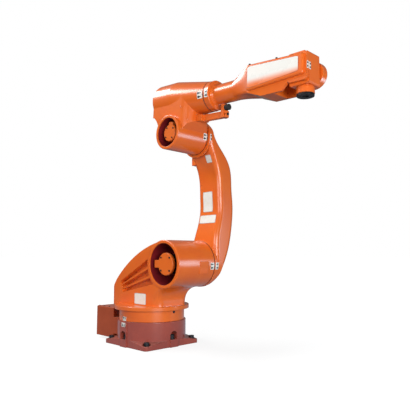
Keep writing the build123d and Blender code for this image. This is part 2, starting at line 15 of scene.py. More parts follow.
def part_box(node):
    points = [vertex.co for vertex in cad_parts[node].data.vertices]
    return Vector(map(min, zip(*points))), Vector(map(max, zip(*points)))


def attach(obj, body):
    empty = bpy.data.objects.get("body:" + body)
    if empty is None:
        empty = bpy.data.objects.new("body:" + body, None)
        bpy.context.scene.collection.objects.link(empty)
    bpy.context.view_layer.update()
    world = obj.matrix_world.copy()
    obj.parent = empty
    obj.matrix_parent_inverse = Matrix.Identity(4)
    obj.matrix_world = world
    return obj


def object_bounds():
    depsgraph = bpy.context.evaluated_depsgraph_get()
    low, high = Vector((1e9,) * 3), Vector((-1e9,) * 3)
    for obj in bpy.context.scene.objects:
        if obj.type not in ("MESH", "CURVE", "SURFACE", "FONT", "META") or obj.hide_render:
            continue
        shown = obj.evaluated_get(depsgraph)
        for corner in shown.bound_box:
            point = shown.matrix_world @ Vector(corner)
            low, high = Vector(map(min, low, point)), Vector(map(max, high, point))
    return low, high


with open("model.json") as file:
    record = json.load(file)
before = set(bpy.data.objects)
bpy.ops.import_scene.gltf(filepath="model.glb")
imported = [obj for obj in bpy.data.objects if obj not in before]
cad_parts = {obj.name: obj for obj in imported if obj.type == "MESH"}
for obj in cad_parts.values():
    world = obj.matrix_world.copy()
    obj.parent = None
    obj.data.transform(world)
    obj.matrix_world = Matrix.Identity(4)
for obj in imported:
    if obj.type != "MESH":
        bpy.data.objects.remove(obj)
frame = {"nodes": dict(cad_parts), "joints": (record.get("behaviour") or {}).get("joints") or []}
solids_low, solids_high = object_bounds()
nodes = frame["nodes"]
joints = {joint["name"]: joint for joint in frame["joints"]}


# Base casting
# The foot and drum of the arm, one iron casting that is bolted to the floor. It is primed and
# sprayed in a dark red-brown enamel, which gathers more dust than the paint of the arm above it.

def new_group(name, inputs, outputs):
    """An empty shader node group with named sockets, and its input and output nodes."""
    group = bpy.data.node_groups.new(name, "ShaderNodeTree")
    for label, kind, value in inputs:
        socket = group.interface.new_socket(label, in_out="INPUT", socket_type=kind)
        socket.default_value = value
    for label, kind in outputs:
        group.interface.new_socket(label, in_out="OUTPUT", socket_type=kind)
    start = group.nodes.new("NodeGroupInput")
    end = group.nodes.new("NodeGroupOutput")
    return group, start, end


def add(tree, kind, inputs=None, **settings):
    """A node with its settings; an input is a plain value or another node's socket."""
    node = tree.nodes.new(kind)
    for label, value in settings.items():
        setattr(node, label, value)
    for label, value in (inputs or {}).items():
        if isinstance(value, bpy.types.NodeSocket):
            tree.links.new(value, node.inputs[label])
        else:
            node.inputs[label].default_value = value
    return node


def math_node(tree, operation, first, second):
    """The result of one sum on two values or sockets."""
    return add(tree, "ShaderNodeMath", {0: first, 1: second}, operation=operation).outputs[0]


def colour_mix(tree, share, first, second):
    """The colour between two colours, by a share."""
    factor_socket = 0
    colour_sockets = (6, 7)
    result_socket = 2
    inputs = {factor_socket: share, colour_sockets[0]: first, colour_sockets[1]: second}
    return add(tree, "ShaderNodeMix", inputs, data_type="RGBA").outputs[result_socket]


def ramp(tree, value, low, high, to_low=0.0, to_high=1.0):
    """A value carried from one span to another, held at the ends."""
    inputs = {"Value": value, 1: low, 2: high, 3: to_low, 4: to_high}
    return add(tree, "ShaderNodeMapRange", inputs, interpolation_type="SMOOTHSTEP").outputs[0]


def rounded_edges():
    """Group: the slightly rounded edge that every cast or turned piece has, and a mask of it."""
    group, start, end = new_group(
        "rounded_edges",
        [("Radius", "NodeSocketFloat", 0.002)],
        [("Normal", "NodeSocketVector"), ("Edge", "NodeSocketFloat")],
    )
    bevel = add(group, "ShaderNodeBevel", {"Radius": start.outputs["Radius"]}, samples=6)
    face = add(group, "ShaderNodeNewGeometry")
    both = {0: bevel.outputs["Normal"], 1: face.outputs["Normal"]}
    match = add(group, "ShaderNodeVectorMath", both, operation="DOT_PRODUCT")
    edge = ramp(group, match.outputs["Value"], low=0.985, high=0.86)
    group.links.new(bevel.outputs["Normal"], end.inputs["Normal"])
    group.links.new(edge, end.inputs["Edge"])
    return group


def paint_skin():
    """Group: the fine waves of sprayed paint, slow changes of tone and a scatter of rubbed spots."""
    group, start, end = new_group(
        "paint_skin",
        [("Grain", "NodeSocketFloat", 700.0), ("Patch", "NodeSocketFloat", 9.0)],
        [("Height", "NodeSocketFloat"), ("Tone", "NodeSocketFloat"), ("Rub", "NodeSocketFloat")],
    )
    place = add(group, "ShaderNodeTexCoord").outputs["Object"]
    fine = {"Vector": place, "Scale": start.outputs["Grain"], "Detail": 2.0, "Roughness": 0.45}
    slow = {"Vector": place, "Scale": start.outputs["Patch"], "Detail": 4.0, "Roughness": 0.6}
    dots = {"Vector": place, "Scale": 85.0, "Detail": 6.0, "Roughness": 0.7}
    grain = add(group, "ShaderNodeTexNoise", fine)
    patch = add(group, "ShaderNodeTexNoise", slow)
    spots = add(group, "ShaderNodeTexNoise", dots)
    group.links.new(grain.outputs["Fac"], end.inputs["Height"])
    group.links.new(ramp(group, patch.outputs["Fac"], low=0.32, high=0.68), end.inputs["Tone"])
    group.links.new(ramp(group, spots.outputs["Fac"], low=0.52, high=0.66), end.inputs["Rub"])
    return group


def settled_dust():
    """Group: a mask of the thin dust that settles on faces that look up."""
    group, start, end = new_group(
        "settled_dust",
        [("Amount", "NodeSocketFloat", 0.2)],
        [("Dust", "NodeSocketFloat")],
    )
    face = add(group, "ShaderNodeNewGeometry")
    upward = add(group, "ShaderNodeSeparateXYZ", {0: face.outputs["Normal"]}).outputs["Z"]
    place = add(group, "ShaderNodeTexCoord").outputs["Object"]
    cloud = add(group, "ShaderNodeTexNoise", {"Vector": place, "Scale": 30.0, "Detail": 5.0})
    level = ramp(group, upward, low=0.55, high=1.0)
    lying = math_node(group, "MULTIPLY", level, cloud.outputs["Fac"])
    dust = math_node(group, "MULTIPLY", lying, start.outputs["Amount"])
    group.links.new(dust, end.inputs["Dust"])
    return group


edges_group = rounded_edges()
skin_group = paint_skin()
dust_group = settled_dust()


def new_material(name):
    """A material with only its shader and output."""
    material = bpy.data.materials.new(name)
    material.use_nodes = True
    tree = material.node_tree
    tree.nodes.clear()
    shader = tree.nodes.new("ShaderNodeBsdfPrincipled")
    output = tree.nodes.new("ShaderNodeOutputMaterial")
    tree.links.new(shader.outputs["BSDF"], output.inputs["Surface"])
    return material, tree, shader


def feed(tree, shader, body, rough, skin, depth, strength, edges=None):
    """Feeds colour, roughness and the skin's fine relief to a shader, over rounded edges if given."""
    relief = {"Height": skin.outputs["Height"], "Distance": depth, "Strength": strength}
    if edges is not None:
        relief["Normal"] = edges.outputs["Normal"]
    bump = add(tree, "ShaderNodeBump", relief)
    tree.links.new(body, shader.inputs["Base Color"])
    tree.links.new(rough, shader.inputs["Roughness"])
    tree.links.new(bump.outputs["Normal"], shader.inputs["Normal"])


def enamel(name, colour, shade, worn, gloss, coat, coat_blur, edge_radius, waves, dust):
    """Sprayed enamel on a casting: tone, rubbed edges, waves in the gloss and settled dust."""
    dust_colour = (0.52, 0.48, 0.44, 1.0)
    dust_blur = 0.4
    rub_share = 0.55
    gloss_spread = 0.07
    material, tree, shader = new_material(name)
    edges = add(tree, "ShaderNodeGroup", {"Radius": edge_radius}, node_tree=edges_group)
    skin = add(tree, "ShaderNodeGroup", node_tree=skin_group)
    fallen = add(tree, "ShaderNodeGroup", {"Amount": dust}, node_tree=dust_group)
    body = colour_mix(tree, skin.outputs["Tone"], colour, shade)
    rubbed = math_node(tree, "MULTIPLY", edges.outputs["Edge"], skin.outputs["Rub"])
    body = colour_mix(tree, math_node(tree, "MULTIPLY", rubbed, rub_share), body, worn)
    body = colour_mix(tree, fallen.outputs["Dust"], body, dust_colour)
    rough = ramp(tree, skin.outputs["Tone"], 0.0, 1.0, gloss, gloss + gloss_spread)
    dulled = math_node(tree, "MULTIPLY", fallen.outputs["Dust"], dust_blur)
    rough = math_node(tree, "ADD", rough, dulled)
    feed(tree, shader, body, rough, skin, depth=0.0004, strength=waves, edges=edges)
    shader.inputs["Specular IOR Level"].default_value = 0.08
    shader.inputs["Coat Weight"].default_value = coat
    shader.inputs["Coat Roughness"].default_value = coat_blur
    return material


def dress(node, material):
    """Puts one material on a solid of the frame."""
    nodes[node].data.materials.clear()
    nodes[node].data.materials.append(material)


base_brown = enamel(
    "base_brown",
    colour=(0.370, 0.072, 0.046, 1.0),
    shade=(0.310, 0.060, 0.042, 1.0),
    worn=(0.52, 0.20, 0.14, 1.0),
    gloss=0.36,
    coat=1.0,
    coat_blur=0.20,
    edge_radius=0.004,
    waves=0.10,
    dust=0.22,
)
dress("base_casting", base_brown)


# Anchor bolts
# Socket head bolts on thick washers, hardened steel blackened in hot oxide. The wrench leaves
# the edges of the heads bright, and the finish is never quite even.

def shaded(colour, share, lift=0.0):
    """A colour with its channels scaled by a share and lifted."""
    return tuple(share * channel + lift for channel in colour[:3]) + (1.0,)


def blackened_steel(name, colour, bright, edge_radius):
    """Black oxide on steel, patchy, with edges rubbed to metal."""
    rub_share = 0.5
    material, tree, shader = new_material(name)
    edges = add(tree, "ShaderNodeGroup", {"Radius": edge_radius}, node_tree=edges_group)
    skin = add(tree, "ShaderNodeGroup", {"Patch": 60.0}, node_tree=skin_group)
    body = colour_mix(tree, skin.outputs["Tone"], colour, shaded(colour, 2.2))
    rubbed = math_node(tree, "MULTIPLY", edges.outputs["Edge"], skin.outputs["Rub"])
    body = colour_mix(tree, math_node(tree, "MULTIPLY", rubbed, rub_share), body, bright)
    rough = ramp(tree, skin.outputs["Tone"], 0.0, 1.0, to_low=0.34, to_high=0.5)
    feed(tree, shader, body, rough, skin, depth=0.0002, strength=0.12, edges=edges)
    shader.inputs["Metallic"].default_value = 0.55
    return material


bolt_black = blackened_steel(
    "bolt_black",
    colour=(0.012, 0.012, 0.014, 1.0),
    bright=(0.20, 0.19, 0.19, 1.0),
    edge_radius=0.001,
)
dress("anchor_bolts", bolt_black)


# Connector box
# A folded and welded steel box behind the drum, where the cables come in. It has the base's
# enamel in a warmer mix, and a lid held by small socket screws along its upper edges.

box_brown = enamel(
    "box_brown",
    colour=(0.420, 0.070, 0.018, 1.0),
    shade=(0.370, 0.060, 0.016, 1.0),
    worn=(0.50, 0.20, 0.10, 1.0),
    gloss=0.40,
    coat=0.40,
    coat_blur=0.24,
    edge_radius=0.002,
    waves=0.10,
    dust=0.25,
)
dress("connector_box", box_brown)


def ring_points(mesh, radius, height, count, sides=0):
    """One ring of vertices; with sides it is a polygon's outline, read at even angles."""
    ring = []
    for index in range(count):
        angle = 2 * pi * index / count
        reach = radius
        if sides:
            part = 2 * pi / sides
            reach = radius * cos(part / 2) / cos(angle % part - part / 2)
        ring.append(mesh.verts.new((reach * cos(angle), reach * sin(angle), height)))
    return ring


def bridge(mesh, lower, upper):
    """A band of faces between two rings of the same count."""
    for index, vertex in enumerate(lower):
        following = (index + 1) % len(lower)
        mesh.faces.new((vertex, lower[following], upper[following], upper[index]))


def finish_mesh(name, mesh):
    """Turns a bmesh into a mesh with smooth faces and sharp corners."""
    sharp_angle = 35.0
    bmesh.ops.recalc_face_normals(mesh, faces=mesh.faces)
    data = bpy.data.meshes.new(name)
    mesh.to_mesh(data)
    mesh.free()
    data.shade_smooth()
    data.set_sharp_from_angle(angle=radians(sharp_angle))
    return data


def skin_rings(name, mesh, rings, hollow=False):
    """A mesh through a row of rings, closed at both ends, or hollow and closed on itself."""
    for lower, upper in zip(rings, rings[1:]):
        bridge(mesh, lower, upper)
    if hollow:
        bridge(mesh, rings[-1], rings[0])
    else:
        mesh.faces.new(rings[-1])
        mesh.faces.new(reversed(rings[0]))
    return finish_mesh(name, mesh)


def socket_screw_mesh(radius, height):
    """Cap screw head, standing on z = 0, with a chamfered rim and a hexagon socket."""
    around = 36
    chamfer = 0.16 * radius
    socket_radius = 0.58 * radius
    socket_mouth = 0.62 * radius
    socket_chamfer = 0.05 * radius
    socket_floor = height - 0.6 * height
    mesh = bmesh.new()
    rings = [
        ring_points(mesh, radius, 0.0, around),
        ring_points(mesh, radius, height - chamfer, around),
        ring_points(mesh, radius - chamfer, height, around),
        ring_points(mesh, socket_mouth, height, around, sides=6),
        ring_points(mesh, socket_radius, height - socket_chamfer, around, sides=6),
        ring_points(mesh, socket_radius, socket_floor, around, sides=6),
    ]
    return skin_rings("screw", mesh, rings)


def new_piece(name, data):
    """A new object in the scene."""
    piece = bpy.data.objects.new(name, data)
    bpy.context.scene.collection.objects.link(piece)
    return piece


def stand(name, data, place, axis, body, material):
    """Sets a mesh that stands on z = 0 at a place, looking along an axis, on a body."""
    if not data.materials:
        data.materials.append(material)
    piece = new_piece(name, data)
    turn = Vector(axis).to_track_quat("Z", "Y").to_matrix().to_4x4()
    piece.matrix_world = Matrix.Translation(place) @ turn
    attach(piece, body)


screw_meshes = {}


def screw(name, place, axis, radius, height, body):
    """A cap screw head with its foot at a place, looking along an axis."""
    size = (radius, height)
    if size not in screw_meshes:
        screw_meshes[size] = socket_screw_mesh(radius, height)
    stand(name, screw_meshes[size], place, axis, body, bolt_black)


box_low, box_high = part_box("connector_box")
sides = ((-1, "right"), (1, "left"))
head_sink = 0.0004
lid_screw = (0.0045, 0.0026)
lid_screw_count = 3
lid_screw_row = 0.085
lid_margin = 0.011
lid_rear = box_low.x + lid_margin
for side, word in sides:
    for index in range(lid_screw_count):
        along = lid_rear + lid_screw_row * index / (lid_screw_count - 1)
        spot = Vector((along, side * (box_high.y - lid_margin), box_high.z - head_sink))
        screw(f"lid_screw_{word}_{index + 1}", spot, (0, 0, 1), *lid_screw, "base")


# Connector panel and cable sockets
# A blackened steel plate let into the back of the box, with two round multi-pole sockets in
# bare die-cast metal. Each socket shows a plastic insert with rings of gold-plated pins.

panel_black = blackened_steel(
    "panel_black",
    colour=(0.030, 0.030, 0.032, 1.0),
    bright=(0.25, 0.25, 0.25, 1.0),
    edge_radius=0.001,
)
dress("connector_panel", panel_black)


def bare_cast_metal(name, colour):
    """Die-cast metal, satin, with a fine grain and a darker tone in random patches."""
    material, tree, shader = new_material(name)
    edges = add(tree, "ShaderNodeGroup", {"Radius": 0.0008}, node_tree=edges_group)
    skin = add(tree, "ShaderNodeGroup", {"Grain": 1600.0, "Patch": 45.0}, node_tree=skin_group)
    body = colour_mix(tree, skin.outputs["Tone"], colour, shaded(colour, 0.75))
    rough = ramp(tree, skin.outputs["Tone"], 0.0, 1.0, to_low=0.28, to_high=0.42)
    feed(tree, shader, body, rough, skin, depth=0.0002, strength=0.2, edges=edges)
    shader.inputs["Metallic"].default_value = 1.0
    return material


socket_metal = bare_cast_metal("socket_metal", (0.62, 0.62, 0.60, 1.0))
pin_gold = bare_cast_metal("pin_gold", (0.83, 0.61, 0.24, 1.0))
dress("cable_sockets", socket_metal)


def moulded_plastic(name, colour, gloss, grain=1200.0):
    """Moulded plastic or rubber with a fine grain and paler edges."""
    wear_share = 0.35
    gloss_spread = 0.12
    material, tree, shader = new_material(name)
    edges = add(tree, "ShaderNodeGroup", {"Radius": 0.001}, node_tree=edges_group)
    skin = add(tree, "ShaderNodeGroup", {"Grain": grain, "Patch": 25.0}, node_tree=skin_group)
    body = colour_mix(tree, skin.outputs["Tone"], colour, shaded(colour, 1.5, 0.004))
    worn = math_node(tree, "MULTIPLY", edges.outputs["Edge"], wear_share)
    body = colour_mix(tree, worn, body, shaded(colour, 3.0, 0.01))
    rough = ramp(tree, skin.outputs["Tone"], 0.0, 1.0, gloss, gloss + gloss_spread)
    feed(tree, shader, body, rough, skin, depth=0.0003, strength=0.25, edges=edges)
    return material


insert_plastic = moulded_plastic("insert_plastic", (0.05, 0.05, 0.055, 1.0), gloss=0.45)


def turned_mesh(name, profile, around, hollow=False):
    """A turned piece about z, from pairs of radius and height; hollow ones are rings."""
    mesh = bmesh.new()
    rings = [ring_points(mesh, radius, height, around) for radius, height in profile]
    return skin_rings(name, mesh, rings, hollow)


sockets_low, sockets_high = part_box("cable_sockets")
socket_radius = (sockets_high.z - sockets_low.z) / 2
socket_pitch = sockets_high.y - sockets_low.y - 2 * socket_radius
socket_z = (sockets_low.z + sockets_high.z) / 2
socket_bore = 0.75 * socket_radius
insert_setback = 0.008
insert_radius = socket_bore - 0.0006
insert_height = 0.0065
insert_chamfer = 0.001
insert_profile = (
    (insert_radius, 0.0),
    (insert_radius, insert_height - insert_chamfer),
    (insert_radius - insert_chamfer, insert_height),
)
insert_mesh = turned_mesh("insert", insert_profile, around=48)
pin_radius = 0.0009
pin_tip_radius = 0.0005
pin_length = 0.0048
pin_taper = 0.0006
pin_sink = 0.0003
pin_profile = ((pin_radius, 0.0), (pin_radius, pin_length - pin_taper), (pin_tip_radius, pin_length))
pin_mesh = turned_mesh("pin", pin_profile, around=12)
pin_rings = ((0.42 * socket_bore, 6), (0.75 * socket_bore, 12))
insert_x = sockets_low.x + insert_setback + insert_height
for side, word in sides:
    centre = Vector((insert_x, side * socket_pitch / 2, socket_z))
    stand(
        f"socket_insert_{word}", insert_mesh, centre, (-1, 0, 0), "base", insert_plastic
    )
    for circle, pin_count in pin_rings:
        for index in range(pin_count):
            angle = 2 * pi * index / pin_count
            offset = Vector((pin_sink - insert_height, circle * cos(angle), circle * sin(angle)))
            name = f"socket_pin_{word}_{pin_count}_{index + 1}"
            stand(name, pin_mesh, centre + offset, (-1, 0, 0), "base", pin_gold)

panel_low, panel_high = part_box("connector_panel")
panel_screw = (0.0040, 0.0024)
panel_screw_sink = 0.0002
panel_margin = 0.008
panel_columns = ((panel_low.y + panel_margin, "right"), (panel_high.y - panel_margin, "left"))
panel_rows = ((panel_low.z + panel_margin, "low"), (panel_high.z - panel_margin, "high"))
for y, side_word in panel_columns:
    for z, level_word in panel_rows:
        spot = Vector((panel_low.x + panel_screw_sink, y, z))
        screw(f"panel_screw_{side_word}_{level_word}", spot, (-1, 0, 0), *panel_screw, "base")


# Turret casting
# The slewing part: skirt, flange, ribbed hump and the tube of the second axis in one aluminium
# casting, sprayed in a thick glossy orange. A small plug closes a hole in the front of the skirt.

arm_orange = enamel(
    "arm_orange",
    colour=(0.770, 0.148, 0.014, 1.0),
    shade=(0.740, 0.128, 0.013, 1.0),
    worn=(0.90, 0.36, 0.16, 1.0),
    gloss=0.30,
    coat=1.0,
    coat_blur=0.24,
    edge_radius=0.004,
    waves=0.07,
    dust=0.08,
)
dress("turret_casting", arm_orange)

turret_low, turret_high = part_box("turret_casting")
shoulder = Vector(joints["shoulder"]["pos_m"])
shoulder_tube_radius = turret_high.x - shoulder.x
skirt_radius = 0.153
plug_profile = ((0.0062, 0.0), (0.0062, 0.0016), (0.0050, 0.0024), (0.0030, 0.0024), (0.0026, 0.0012))
plug_around = 24
plug_sink = 0.0005
plug_y = 0.0043
plug_z = 0.1535
plug_mesh = turned_mesh("plug", plug_profile, plug_around)
plug_spot = Vector((skirt_radius - plug_sink, plug_y, plug_z))
stand("skirt_plug", plug_mesh, plug_spot, (1, 0, 0), "turret", bolt_black)


# Turret plate
# A bare white plate on the side of the turret, thin aluminium sheet with printed enamel, held
# by its adhesive. Such plates follow the surface that they are stuck to.

def plate_enamel(name, colour):
    """Printed enamel on thin sheet, one colour, a little uneven and yellowed in patches."""
    yellowing = (0.95, 0.93, 0.86)
    material, tree, shader = new_material(name)
    skin = add(tree, "ShaderNodeGroup", {"Patch": 55.0}, node_tree=skin_group)
    aged = tuple(channel * share for channel, share in zip(colour, yellowing)) + (1.0,)
    body = colour_mix(tree, skin.outputs["Tone"], colour, aged)
    rough = ramp(tree, skin.outputs["Tone"], 0.0, 1.0, to_low=0.32, to_high=0.42)
    feed(tree, shader, body, rough, skin, depth=0.0002, strength=0.06)
    return material


surface_trees = {}


def surface_of(node):
    """The search tree of a solid's surface."""
    if node not in surface_trees:
        data = nodes[node].data
        corners = [vertex.co.copy() for vertex in data.vertices]
        faces = [tuple(face.vertices) for face in data.polygons]
        surface_trees[node] = BVHTree.FromPolygons(corners, faces)
    return surface_trees[node]


def rounded_grid_point(u, v, width, height, corner):
    """A point of a grid from -1 to 1, carried to a rectangle with round corners."""
    x, y = u * width / 2, v * height / 2
    inner_x, inner_y = width / 2 - corner, height / 2 - corner
    over_x, over_y = abs(x) - inner_x, abs(y) - inner_y
    if over_x > 0 and over_y > 0:
        reach = max(over_x, over_y)
        direction = Vector((over_x, over_y)).normalized() * reach
        x = (inner_x + direction.x) * (1 if x > 0 else -1)
        y = (inner_y + direction.y) * (1 if y > 0 else -1)
    return x, y


def seat_matrix(centre, across, outward):
    """A place on a surface: x runs across, z looks out of the surface."""
    outward = Vector(outward).normalized()
    across = (Vector(across) - Vector(across).dot(outward) * outward).normalized()
    place = Matrix((across, outward.cross(across), outward)).transposed().to_4x4()
    place.translation = Vector(centre)
    return place


def lay_patch(mesh, node, place, size, corner, low, high, narrow=1.0, flat=False, index=0, steps=12):
    """Adds a closed thin patch that lies on a solid between two heights above its surface.

    narrow is the height at the right end as a share of the left end's; a flat patch is a pad with
    a level top on a curved surface.
    """
    search = 0.03
    tree = surface_of(node)
    outward = place.col[2].to_3d()
    back = place.inverted()
    width, height = size
    spots = []
    for row in range(steps + 1):
        for column in range(steps + 1):
            u, v = 2 * column / steps - 1, 2 * row / steps - 1
            x, y = rounded_grid_point(u, v, width, height, corner)
            y *= 1 + (narrow - 1) * (x / width + 0.5)
            hit = tree.ray_cast(place @ Vector((x, y, search)), -outward, 2 * search)[0]
            spots.append((x, y, (back @ hit).z if hit else 0.0))
    crown = max(depth for _, _, depth in spots)
    bottom = []
    top = []
    for x, y, depth in spots:
        bottom.append(mesh.verts.new(place @ Vector((x, y, depth + low))))
        top.append(mesh.verts.new(place @ Vector((x, y, (crown if flat else depth) + high))))
    span = steps + 1
    for row in range(steps):
        for column in range(steps):
            first = row * span + column
            square = (first, first + 1, first + 1 + span, first + span)
            for layer, order in ((top, square), (bottom, square[::-1])):
                mesh.faces.new([layer[point] for point in order]).material_index = index
    rim = list(range(steps))
    rim += [row * span + steps for row in range(steps)]
    rim += [steps * span + column for column in range(steps, 0, -1)]
    rim += [row * span for row in range(steps, 0, -1)]
    for count, first in enumerate(rim):
        second = rim[(count + 1) % len(rim)]
        wall = mesh.faces.new((bottom[first], bottom[second], top[second], top[first]))
        wall.material_index = index


def laid_piece(name, mesh, place, materials, body):
    """Makes a piece of what was laid on a solid, with its origin at its place."""
    bmesh.ops.transform(mesh, matrix=place.inverted(), verts=mesh.verts)
    data = finish_mesh(name, mesh)
    for material in materials:
        data.materials.append(material)
    piece = new_piece(name, data)
    piece.matrix_world = place
    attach(piece, body)


plate_thickness = 0.0008
plate_sink = -0.0003
print_height = plate_thickness + 0.0003
plate_white = plate_enamel("plate_white", (0.80, 0.80, 0.78, 1.0))
plate_line = plate_enamel("plate_line", (0.46, 0.46, 0.44, 1.0))


def bare_plate(name, node, centre, outward, size, body):
    """A blank plate: a grey line round a raised white field."""
    plate_corner = 0.004
    line_width = 0.002
    field_corner = 0.003
    place = seat_matrix(centre, (1, 0, 0), outward)
    field = (size[0] - 2 * line_width, size[1] - 2 * line_width)
    mesh = bmesh.new()
    lay_patch(mesh, node, place, size, plate_corner, plate_sink, plate_thickness, index=1)
    lay_patch(mesh, node, place, field, field_corner, 0.0, print_height)
    laid_piece(name, mesh, place, (plate_white, plate_line), body)


turret_plate_place = (0.030, -0.093, 0.210)
turret_plate_size = (0.084, 0.050)
bare_plate(
    "turret_plate", "turret_casting", turret_plate_place, (0, -1, 0), turret_plate_size, "turret"
)


# Slewing marks
# A pair of small printed plates on either side of the slewing seam, one on the base and one on
# the skirt. Their arrows meet when the axis stands at zero.

mark_black = plate_enamel("mark_black", (0.020, 0.020, 0.024, 1.0))


def zero_mark(name, node, centre, toward, outward, size, body):
    """Half of a zero mark: a white plate with two black wedges that leave an arrow to the seam."""
    mark_corner = 0.0015
    wedge_corner = 0.0004
    wedge_tip = 0.12
    steps = 6
    length, width = size
    wedge = (0.72 * length, 0.34 * width)
    wedge_back = 0.04 * length
    wedge_apart = 0.25 * width
    place = seat_matrix(centre, toward, outward)
    mesh = bmesh.new()
    lay_patch(mesh, node, place, size, mark_corner, plate_sink, plate_thickness, steps=steps)
    for side in (-1, 1):
        spot = place @ Matrix.Translation((-wedge_back, side * wedge_apart, 0.0))
        lay_patch(
            mesh, node, spot, wedge, wedge_corner, 0.0, print_height, narrow=wedge_tip, index=1, steps=steps
        )
    laid_piece(name, mesh, place, (plate_white, mark_black), body)


pilaster_face_y = -0.164
pilaster_chamfer = 0.003
base_mark_x = 0.003
skirt_mark_x = -0.006
slew_mark = (0.018, 0.027)
mark_gap = 0.0015
slew_step = mark_gap + slew_mark[0] / 2
base_mark_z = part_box("base_casting")[1].z - pilaster_chamfer - slew_step
skirt_mark_z = turret_low.z + slew_step
zero_mark(
    "slew_mark_base",
    "base_casting",
    (base_mark_x, pilaster_face_y, base_mark_z),
    toward=(0, 0, 1),
    outward=(0, -1, 0),
    size=slew_mark,
    body="base",
)
zero_mark(
    "slew_mark_turret",
    "turret_casting",
    (skirt_mark_x, -skirt_radius, skirt_mark_z),
    toward=(0, 0, -1),
    outward=(0, -1, 0),
    size=slew_mark,
    body="turret",
)


# Shoulder motor and its cap
# The servo motor of the second axis stands in the open end of the tube. Its body is black
# anodised and the round end cap with the plug's tab is sprayed in the arm's orange. The bore
# around it is lined with painted shade, a dark red skin that darkens its wall and floor.

motor_black = moulded_plastic("motor_black", (0.010, 0.010, 0.011, 1.0), gloss=0.45)
# Dark red painted shade for the motors' bores, darkening their walls and floors.
painted_bore_shade = enamel(
    "painted_bore_shade",
    colour=(0.210, 0.014, 0.018, 1.0),
    shade=(0.150, 0.010, 0.014, 1.0),
    worn=(0.20, 0.05, 0.04, 1.0),
    gloss=0.45,
    coat=0.10,
    coat_blur=0.30,
    edge_radius=0.001,
    waves=0.10,
    dust=0.0,
)
dress("shoulder_motor", motor_black)
dress("shoulder_motor_cap", arm_orange)

ring_around = 72


def bore_shade_skin(name, motor, centre, bore, mouth_y, depth, body):
    """Painted shade in a motor's bore: a dark red skin on its wall and its floor round the motor."""
    skin = 0.0006
    wall_gap = 0.0001
    motor_gap = 0.0005
    motor_low, motor_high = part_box(motor)
    hole = (motor_high.x - motor_low.x) / 2 + motor_gap
    outer = bore - wall_gap
    profile = (
        (outer, 0.0),
        (outer, depth),
        (hole, depth),
        (hole, depth - skin),
        (outer - skin, depth - skin),
        (outer - skin, 0.0),
    )
    shade_skin = turned_mesh(name, profile, ring_around, hollow=True)
    place = Vector((centre.x, mouth_y, centre.z))
    stand(name, shade_skin, place, (0, 1, 0), body, painted_bore_shade)


def screw_ring(stem, centre, across, up, outward, circle, count, turn, size, body):
    """Screws evenly round a circle in a face, numbered from a turn away from across."""
    sink = 0.0003
    for index in range(count):
        angle = radians(turn + 360 * index / count)
        offset = circle * (cos(angle) * Vector(across) + sin(angle) * Vector(up))
        spot = centre + offset - sink * Vector(outward)
        screw(f"{stem}_{index + 1}", spot, outward, *size, body)


bore_lip = 0.004
shoulder_wall = 0.014
shoulder_bore_depth = 0.1215
shoulder_cap_recess = 0.013
shoulder_cap_face_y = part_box("shoulder_motor_cap")[0].y
shoulder_cap_screw = (0.0042, 0.0028)
# Painted shade skin in the shoulder motor's bore.
bore_shade_skin(
    "shoulder_bore_shade",
    "shoulder_motor",
    shoulder,
    bore=shoulder_tube_radius - shoulder_wall,
    mouth_y=shoulder_cap_face_y - shoulder_cap_recess + bore_lip,
    depth=shoulder_bore_depth,
    body="turret",
)
screw_ring(
    "shoulder_motor_cap_screw",
    Vector((shoulder.x, shoulder_cap_face_y, shoulder.z)),
    across=(1, 0, 0),
    up=(0, 0, 1),
    outward=(0, -1, 0),
    circle=0.040,
    count=4,
    turn=45,
    size=shoulder_cap_screw,
    body="turret",
)


# Lower arm
# A long hollow casting that bows outward from the shoulder to the elbow, in the same orange.
# Its near side carries a small bare plate near the elbow and two larger ones at half height.

dress("lower_arm_casting", arm_orange)
arm_plates = (
    ("arm_upper_plate", (0.2625, 0.1185, 0.8575), (0, -0.915, -0.40), (0.034, 0.038)),
    ("arm_tall_plate", (0.223, 0.1525, 0.660), (0, -1, 0), (0.062, 0.096)),
    ("arm_strip_plate", (0.2275, 0.148, 0.577), (0, -0.98, 0.19), (0.104, 0.040)),
)
for name, centre, outward, size in arm_plates:
    bare_plate(name, "lower_arm_casting", centre, outward, size, "lower_arm")


# Shoulder seam
# Where the lower arm turns against the tube there is a black lip seal. The tube has a flat pad
# in front, and a zero mark lies across the seam, one half on the tube and one on the arm.

seal_rubber = moulded_plastic("seal_rubber", (0.030, 0.008, 0.006, 1.0), gloss=0.6, grain=900.0)
seal_length = 0.004
seal_setback = 0.0008


def lip_seal(name, radius, place, axis, body):
    """A thin rubber ring that lies round the end of a tube."""
    foot = radius - 0.0004
    crest = radius + 0.0003
    slope = 0.0004
    profile = ((foot, 0.0), (crest, slope), (crest, seal_length - slope), (foot, seal_length))
    ring = turned_mesh(name, profile, ring_around, hollow=True)
    stand(name, ring, place, axis, body, seal_rubber)


def flat_pad(name, node, centre, outward, size, body):
    """A level pad cast on a round surface."""
    pad_corner = 0.003
    pad_height = 0.0004
    place = seat_matrix(centre, (0, 1, 0), outward)
    mesh = bmesh.new()
    lay_patch(mesh, node, place, size, pad_corner, plate_sink, pad_height, flat=True)
    laid_piece(name, mesh, place, (arm_orange,), body)


